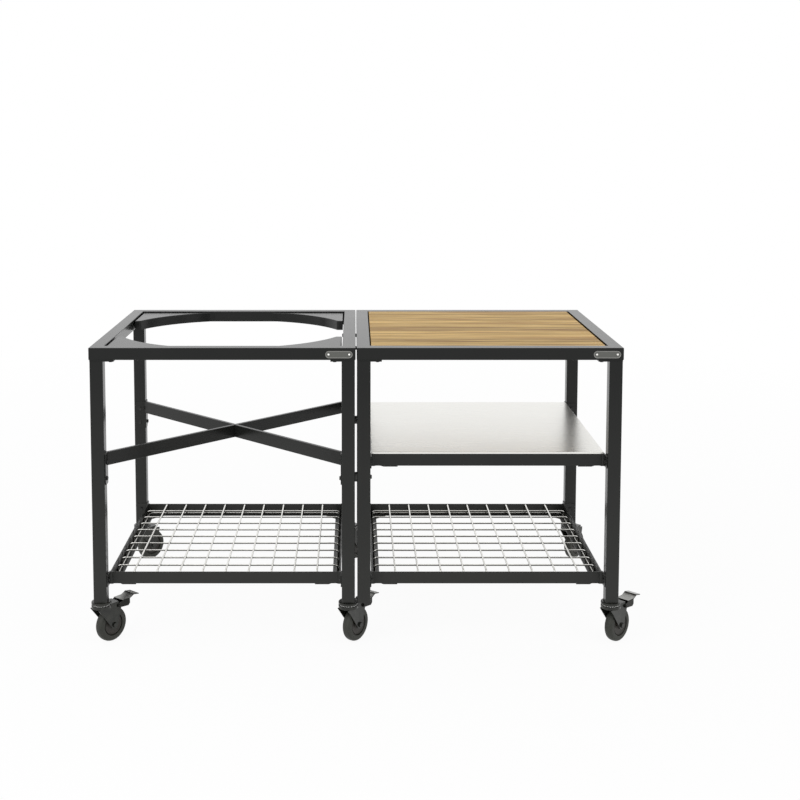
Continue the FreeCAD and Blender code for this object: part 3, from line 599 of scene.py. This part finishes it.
def eased(node, width, above=-1.0, shortest=0.0, wanted=None, first=None):
    """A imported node's shape, altered first where asked, with its outer edges rounded over.

    Edges that lie lower, are shorter or don't pass the test stay sharp.
    """
    source = frame["nodes"][node]
    piece = source.copy()
    piece.data = source.data.copy()
    piece.name = node + "_eased"
    piece.parent = None
    for key in list(piece.keys()):
        del piece[key]
    bpy.context.scene.collection.objects.link(piece)
    only(piece)
    into_edit()
    bpy.ops.mesh.remove_doubles(threshold=CAD_MERGE)
    bpy.ops.mesh.dissolve_limited(angle_limit=FLAT_ANGLE)
    if first:
        first()
    bpy.ops.mesh.select_mode(type="EDGE")
    bpy.ops.mesh.select_all(action="DESELECT")
    shape = bmesh.from_edit_mesh(piece.data)
    for edge in shape.edges:
        ends = [vert.co for vert in edge.verts]
        if len(edge.link_faces) != 2 or not edge.is_convex or edge.calc_face_angle() < EDGE_ANGLE:
            continue
        if edge.calc_length() < shortest or min(end.z for end in ends) < above:
            continue
        edge.select = wanted is None or wanted(ends[0], ends[1])
    shape.select_flush_mode()
    bmesh.update_edit_mesh(piece.data)
    bpy.ops.mesh.bevel(offset=width, segments=3, affect="EDGES", clamp_overlap=False)
    bpy.ops.object.mode_set(mode="OBJECT")
    smooth(piece)
    return finished(piece, source["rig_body"], SLOTS[node], node)


def off_the_ledge(first, second):
    """True for the outer edges of the tube, not for those next to the boards or on the ledge."""
    middle = (first + second) / 2
    across = abs(middle.x - (WORKTOP_BAY.x + MIDDLE))
    deep = abs(middle.y - (WORKTOP_BAY.y + MIDDLE))
    return max(across, deep) > MIDDLE - RAIL_WIDTH + NEAR


def draw_in_boards():
    """Leaves a gap between the boards' ends and the rails, wider at the right."""
    for side, gap in BOARD_GAPS:
        pick_faces(lambda face: face.normal.x * side > 0.9)
        slide(-side * gap, 0, 0)


def sink_plate_fields():
    """A sunk field inside a raised rim on each name plate."""
    pick_faces(lambda face: face.normal.y < -0.9)
    bpy.ops.mesh.inset(thickness=PLATE_RIM, depth=0)
    bpy.ops.mesh.inset(thickness=PLATE_FIELD_EDGE, depth=-PLATE_SINK)


def trim_ears(node):
    """Cuts a shelf frame's ears back to its rails' height and shortens them along the rails."""
    low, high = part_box(node)
    centre = (low + high) / 2
    pick_faces(lambda face: face.normal.z > 0.9 and face.calc_center_median().z > high.z - NEAR)
    slide(0, 0, -EAR_TRIM)
    pick_faces(lambda face: face.normal.z < -0.9 and face.calc_center_median().z < low.z + NEAR / 2)
    slide(0, 0, EAR_LIFT)
    near, far = (MIDDLE - SHEET_FACE - inset for inset in EAR_ENDS)

    def at_an_end(face):
        """True for the ears' ends that look one way along one axis."""
        reach = (centre - face.calc_center_median())[axis] * side
        return face.normal[axis] * side > 0.5 and near < reach < far

    for axis in (0, 1):
        for side in (-1, 1):
            pick_faces(at_an_end)
            slide(*(-side * EAR_SHORTER if place == axis else 0 for place in range(3)))


def upright(first, second):
    """True for the long edges of a leg."""
    return abs(first.z - second.z) > 0.1


def build_frames():
    """Every piece of the frames, the worktop and the name plates."""
    eased("grill_top_frame", width=0.0018, shortest=0.02)
    eased("worktop_top_frame", width=0.0018, shortest=0.02, wanted=off_the_ledge)
    for bay in ("grill", "worktop"):
        for corner in ("front_left", "front_right", "rear_left", "rear_right"):
            eased(f"{bay}_{corner}_leg", width=0.0026, wanted=upright)
    eased("leg_plates", width=0.0006)
    eased("infill_plates", width=0.0024, above=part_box("infill_plates")[1].z - NEAR)
    for node in ("support_bar_left", "support_bar_right"):
        eased(node, width=0.0012)
    eased("support_brackets", width=0.0006)
    for node in ("grill_shelf_frame", "worktop_shelf_frame", "middle_shelf_frame"):
        eased(node, width=0.0008, shortest=0.004, first=lambda: trim_ears(node))
    eased("shelf_panel", width=0.0014, above=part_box("shelf_panel")[1].z - NEAR)
    eased("worktop_slats", width=0.0005, first=draw_in_boards)
    eased("worktop_battens", width=0.0015)
    eased("name_plates", width=0.0002, first=sink_plate_fields)
    eased("threaded_plugs", width=0.0006, shortest=0.01)


def wire_end(name, **place):
    """The first round face of a wire, in edit mode, ready to be pushed along."""
    piece = fresh(name, bpy.ops.mesh.primitive_circle_add, vertices=WIRE_SIDES, radius=WIRE_RADIUS,
                  fill_type="NGON", **place)
    into_edit()
    return piece


def across_wire():
    """A wire from front to back, both ends bent down, modelled about the middle of its span."""
    half = GRID_SPAN / 2
    fall = UPPER_WIRES - RIM_WIRES
    piece = wire_end("wire_pattern", location=(0, -half, -fall + WIRE_RADIUS / 2))
    push(0, 0, fall - WIRE_RADIUS / 2 - WIRE_BEND)
    quarter = {"steps": WIRE_BEND_STEPS, "angle": math.pi / 2, "axis": (1, 0, 0)}
    bpy.ops.mesh.spin(center=(0, WIRE_BEND - half, -WIRE_BEND), **quarter)
    push(0, GRID_SPAN - 2 * WIRE_BEND, 0)
    bpy.ops.mesh.spin(center=(0, half - WIRE_BEND, -WIRE_BEND), **quarter)
    push(0, 0, WIRE_BEND - fall + WIRE_RADIUS / 2)
    return smooth(close_up(piece), degrees=60)


def rim_wire():
    """The wire loop round the feet of a grid, with rounded corners."""
    half = GRID_SPAN / 2
    straight = half - GRID_CORNER
    piece = wire_end("rim_pattern", location=(0, -half, 0), rotation=(0, math.pi / 2, 0))
    push(straight, 0, 0)
    runs = ((straight, -straight, 0, 1), (straight, straight, -1, 0),
            (-straight, straight, 0, -1), (-straight, -straight, 1, 0))
    quarter = {"steps": WIRE_BEND_STEPS, "angle": -math.pi / 2, "axis": (0, 0, 1)}
    for x, y, along_x, along_y in runs:
        bpy.ops.mesh.spin(center=(x, y, 0), **quarter)
        length = straight if along_x > 0 else 2 * straight
        push(along_x * length, along_y * length, 0)
    bpy.ops.mesh.select_all(action="DESELECT")
    bpy.ops.mesh.select_face_by_sides(number=WIRE_SIDES, type="EQUAL")
    bpy.ops.mesh.delete(type="ONLY_FACE")
    return smooth(close_up(piece), degrees=60)


def build_grids():
    """Both grids: nine wires each way over a rim wire, the left-to-right ones below."""
    wire, rim = across_wire(), rim_wire()
    places = [(step - (WIRE_COUNT - 1) / 2) * WIRE_PITCH for step in range(WIRE_COUNT)]
    crosswise = (0, 0, math.pi / 2)
    for bay, corner in (("grill", GRILL_BAY), ("worktop", WORKTOP_BAY)):
        x, y = corner.x + MIDDLE, corner.y + MIDDLE
        wires = [placed(wire, "wire", (x + place, y, UPPER_WIRES)) for place in places]
        wires += [placed(wire, "wire", (x, y + place, LOWER_WIRES), crosswise) for place in places]
        wires.append(placed(rim, "rim", (x, y, RIM_WIRES)))
        grid = joined(wires, f"{bay}_wire_grid")
        finished(grid, f"{bay}_bay_grid", "wire_steel", f"{bay}_shelf_grid")
    drop(wire, rim)


def hex_bolt():
    """A chamfered hexagon head on a thin washer, standing on Z = 0."""
    washer = turned("washer", WASHER, steps=32)
    tall = BOLT_HEAD - HEAD_SEAT
    head = fresh("head", bpy.ops.mesh.primitive_cylinder_add, vertices=6, depth=tall,
                 radius=BOLT_FLATS / math.sqrt(3), location=(0, 0, HEAD_SEAT + tall / 2))
    into_edit()
    pick_faces(lambda face: face.normal.z > 0.9)
    bpy.ops.mesh.inset(thickness=0.0008, depth=0)
    bpy.ops.mesh.inset(thickness=0.0006, depth=-0.0003)
    bevel_all(0.00025)
    close_up(head)
    return joined([washer, smooth(head)], "bolt_pattern")


def bolt_places(corner, face, height):
    """Places and directions of bolts on the inner faces of a bay's legs, at one height."""
    far_face = BAY - face
    spots = []
    for leg in LEG_CENTRES:
        for x, y, way in ((face, leg, "right"), (far_face, leg, "left"), (leg, face, "back"),
                          (leg, far_face, "front")):
            spots.append(((corner.x + x, corner.y + y, height), way))
    return spots


def build_bolts():
    """Every bolt of the frames, from one pattern."""
    bolt = hex_bolt()
    support = []
    for height in SUPPORT_BOLTS:
        support += bolt_places(GRILL_BAY, SHEET_FACE, height)
    shelf = bolt_places(GRILL_BAY, SHEET_FACE, LOWER_SHELF_BOLTS)
    shelf += bolt_places(WORKTOP_BAY, SHEET_FACE, LOWER_SHELF_BOLTS)
    shelf += bolt_places(WORKTOP_BAY, SHEET_FACE, MIDDLE_SHELF_BOLTS)
    plate = []
    for corner in (GRILL_BAY, WORKTOP_BAY):
        for x in (PLATE_BOLT, BAY - PLATE_BOLT):
            for y in LEG_CENTRES:
                plate.append(((corner.x + x, corner.y + y, LEG_TOP), "down"))
                plate.append(((corner.x + y, corner.y + x, LEG_TOP), "down"))
    middle = GRILL_BAY.y + MIDDLE
    link = [((GRILL_BAY.x + BAY - RAIL_WIDTH, middle, RAIL_LINK_HEIGHT), "left"),
            ((WORKTOP_BAY.x + RAIL_WIDTH, middle, RAIL_LINK_HEIGHT), "right")]
    for y in LEG_CENTRES:
        link.append(((WORKTOP_BAY.x + LEG_INNER, GRILL_BAY.y + y, LEG_LINK_HEIGHT), "right"))
    sets = (("support_bolt_heads", support, ("support_bolts",)),
            ("shelf_bolt_heads", shelf, ("shelf_bolts",)),
            ("plate_bolt_heads", plate, ()),
            ("link_bolt_heads", link, ("link_bolts",)))
    for name, spots, nodes in sets:
        heads = [placed(bolt, "bolt", at, OUT[way]) for at, way in spots]
        finished(joined(heads, name), "table", "bolt_steel", *nodes)
    drop(bolt)


def build_links():
    """Round spacers in the seam: small ones between the rails, broad ones between the legs."""
    spacers = []
    sets = ((RAIL_SPACER, RAIL_LINK_HEIGHT, RAIL_LINKS), (LEG_SPACER, LEG_LINK_HEIGHT, LEG_CENTRES))
    for (radius, length), height, places in sets:
        spacer = turned("spacer_pattern", [(x * radius, z * length) for x, z in SPACER], steps=32)
        for y in places:
            spacers.append(placed(spacer, "spacer", (SEAM, GRILL_BAY.y + y, height), OUT["right"]))
        drop(spacer)
    finished(joined(spacers, "seam_spacers"), "table", SLOTS["link_spacers"], "link_spacers")


def build_rivets():
    """Two domed rivets in each bare name plate."""
    rivet = turned("rivet_pattern", RIVET, steps=24)
    low, high = NAME_PLATES
    rivets = []
    for corner in (GRILL_BAY, WORKTOP_BAY):
        for aside in (-RIVET_REACH, RIVET_REACH):
            x = corner.x + BAY - PLATE_FROM_CORNER + aside
            at = (x, low.y + PLATE_SINK, (low.z + high.z) / 2)
            rivets.append(placed(rivet, "rivet", at, OUT["front"]))
    finished(joined(rivets, "plate_rivets"), "table", "plate_metal", finish=RIVET_STEEL)
    drop(rivet)


def both_sides(outline):
    """An outline and its mirror image, closed."""
    return outline + [(radius, -side) for radius, side in reversed(outline)] + outline[:1]


def plug_top():
    """The flange and core of the plug in a leg's foot, about the swivel axis."""
    flange = (PLUG_WIDTH, PLUG_WIDTH, PLUG_FLANGE)
    plug = fresh("plug", bpy.ops.mesh.primitive_cube_add, size=1, scale=flange,
                 location=(0, 0, CASTER_TOP + PLUG_FLANGE / 2))
    apply_place()
    into_edit()
    pick_faces(lambda face: face.normal.z > 0.9)
    bpy.ops.mesh.inset(thickness=PLUG_STEP, depth=0)
    push(0, 0, PLUG_DEPTH)
    bevel_all(0.0004)
    return smooth(close_up(plug))


def ball_ring():
    """The ring of balls between a caster's head and its fork."""
    ball = fresh("ball_pattern", bpy.ops.mesh.primitive_ico_sphere_add, subdivisions=2,
                 radius=BALL_RADIUS, location=(BALL_CIRCLE, 0, BALL_HEIGHT))
    apply_place()
    into_edit()
    bpy.ops.mesh.spin(steps=BALL_COUNT, angle=2 * math.pi, center=(0, 0, 0), axis=(0, 0, 1),
                      dupli=True)
    return smooth(close_up(ball), degrees=60)


def build_casters():
    """Six casters: the heads in one piece on the table, the rest of each on its own bodies."""
    tread = turned("tread_pattern", both_sides(TREAD), steps=96)
    disc = turned("disc_pattern", both_sides(DISC), steps=96)
    cup, race = turned("cup", CUP, steps=64), turned("race", RACE, steps=64)
    head = joined([cup, race, plug_top()], "head_pattern")
    balls = ball_ring()
    heads = []
    for name in CASTERS:
        rolls = JOINTS[f"{name}_rolls"]
        swivel = Vector(JOINTS[f"{name}_swivels"]["pos_m"])
        swivel.z = 0
        axle = Vector(rolls["axis"])
        lie = (math.pi / 2, 0, math.atan2(-axle.x, axle.y))
        wheel, node = f"{name}_wheel", f"{name}_caster_wheel"
        for pattern, part, finish in ((tread, "tread", None), (disc, "disc", DISC_BLACK)):
            piece = placed(pattern, f"{name}_{part}", rolls["pos_m"], lie)
            finished(piece, wheel, "caster_wheel", node, finish=finish)
        eased(f"{name}_caster_fork", width=0.0004, shortest=0.002)
        ring = placed(balls, f"{name}_balls", swivel)
        finished(ring, f"{name}_swivel", "zinc_steel", finish=BALL_STEEL)
        heads.append(placed(head, "head", swivel))
        if name in BRAKED:
            eased(f"{name}_caster_pedal", width=0.0005, shortest=0.002)
    finished(joined(heads, "caster_head_cups"), "table", "zinc_steel", "caster_heads")
    drop(tread, disc, head, balls)


def build_floor():
    """A plain pale floor that shows white and keeps the table's shadow."""
    floor = fresh("floor", bpy.ops.mesh.primitive_plane_add, size=FLOOR_SIZE, location=(0, 0, 0))
    into_edit()
    bpy.ops.mesh.subdivide(number_cuts=FLOOR_CUTS)
    bpy.ops.object.mode_set(mode="OBJECT")
    material = bpy.data.materials.new("pale_floor")
    nodes = Nodes(material)
    matt = nodes.node("ShaderNodeBsdfDiffuse", {}, {"Color": rgb(0.92, 0.92, 0.92)})
    white = nodes.node("ShaderNodeEmission", {}, {"Color": rgb(1, 1, 1)})
    place = nodes.node("ShaderNodeTexCoord", output="Object")
    reach = nodes.node("ShaderNodeVectorMath", {"operation": "LENGTH"}, {0: place}, "Value")
    near, far = FLOOR_FADE
    fade = nodes.node("ShaderNodeMapRange", {}, {"Value": reach, "From Min": near, "From Max": far,
                                                "To Min": FLOOR_WHITE, "To Max": 1.0})
    share = nodes.seen_directly() * fade
    nodes.show(nodes.node("ShaderNodeMixShader", {}, {0: share, 1: matt, 2: white}))
    floor.data.materials.append(material)


def build_world():
    """White where it is seen or mirrored, and a softer level as the object's light."""
    world = bpy.data.worlds.new("white_room")
    bpy.context.scene.world = world
    nodes = Nodes(world)
    light = nodes.node("ShaderNodeBackground", {}, {"Color": rgb(1, 1, 1), "Strength": WORLD_LIGHT})
    white = nodes.node("ShaderNodeBackground", {}, {"Color": rgb(1, 1, 1), "Strength": 1.0})
    share = nodes.seen_directly()
    nodes.show(nodes.node("ShaderNodeMixShader", {}, {0: share, 1: light, 2: white}))


def soft_lamp(name, place, size, watts):
    """A square soft lamp aimed at the middle of the table."""
    lamp = bpy.data.lights.new(name, "AREA")
    lamp.size = size
    lamp.energy = watts
    holder = bpy.data.objects.new(name, lamp)
    bpy.context.scene.collection.objects.link(holder)
    holder.location = place
    holder.rotation_euler = (LIGHT_AIM - Vector(place)).to_track_quat("-Z", "Y").to_euler()


def build_camera():
    """A camera in front of the table, looking slightly down."""
    data = bpy.data.cameras.new("camera")
    data.lens = 57.172
    data.sensor_width = 36.0
    data.shift_x = 0.0567
    data.shift_y = -0.2012
    camera = bpy.data.objects.new("camera", data)
    bpy.context.scene.collection.objects.link(camera)
    camera.location = (-0.03886, -3.97630, 1.50144)
    camera.rotation_euler = (math.radians(85), 0, 0)
    bpy.context.scene.camera = camera
    bpy.context.scene.view_settings.view_transform = "Standard"


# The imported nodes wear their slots' finishes too, including those that a finer piece stands for.
for node, shown in frame["nodes"].items():
    shown.data.materials.clear()
    shown.data.materials.append(FINISHES[SLOTS[node]])

build_frames()
build_grids()
build_bolts()
build_links()
build_rivets()
build_casters()
build_floor()
build_world()
soft_lamp("key", (-2.6, -3.0, 3.0), size=3.0, watts=70)
soft_lamp("fill", (3.0, -2.6, 2.4), size=2.6, watts=24)
build_camera()
